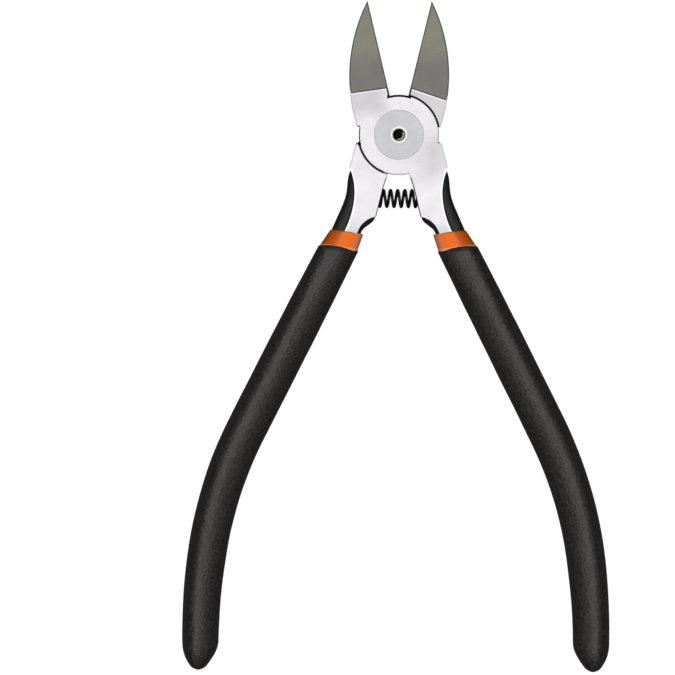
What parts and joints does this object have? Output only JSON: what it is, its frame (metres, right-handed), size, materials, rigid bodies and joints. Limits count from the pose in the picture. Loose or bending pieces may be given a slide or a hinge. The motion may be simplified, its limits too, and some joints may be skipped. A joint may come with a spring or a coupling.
{
  "type": "diagonal cutting pliers",
  "caption": "Spring-opened diagonal cutting pliers: two lapped levers with tapered flush-cutting jaws turn on a disc-headed pivot, with long bowed dipped handles.",
  "frame": {"origin": "on the pivot axis, in the plane of the head's flat back face", "axes": "+Y along the tool towards the jaw tips, +Z along the pivot axis out of the face with the screw head, +X to the right seen from that face"},
  "size_m": [0.1002, 0.1575, 0.0102],
  "materials": {
    "ground_steel": "ground and satin polished flats, black forged skin left on the tangs",
    "pivot_steel": "fine satin turned face",
    "spring_steel": "blackened spring wire",
    "orange_vinyl": "smooth dipped vinyl, slight gloss",
    "black_vinyl": "fine-grained matte dipped vinyl"
  },
  "bodies": {
    "rear_half": {"rear_lever": "ground_steel", "pivot_barrel": "pivot_steel", "pivot_screw": "pivot_steel", "rear_grip_liner": "orange_vinyl", "rear_grip": "black_vinyl", "return_spring": "spring_steel"},
    "front_half": {"front_lever": "ground_steel", "front_grip_liner": "orange_vinyl", "front_grip": "black_vinyl"}
  },
  "joints": [
    {"name": "pivot", "type": "hinge", "parent": "rear_half", "child": "front_half", "pos_m": [0, 0, 0.0042], "axis": [0, 0, -1], "range_deg": [-20.5, 26.8], "stiffness_Nm_per_rad": 0.25, "deforming": ["return_spring"]}
  ]
}
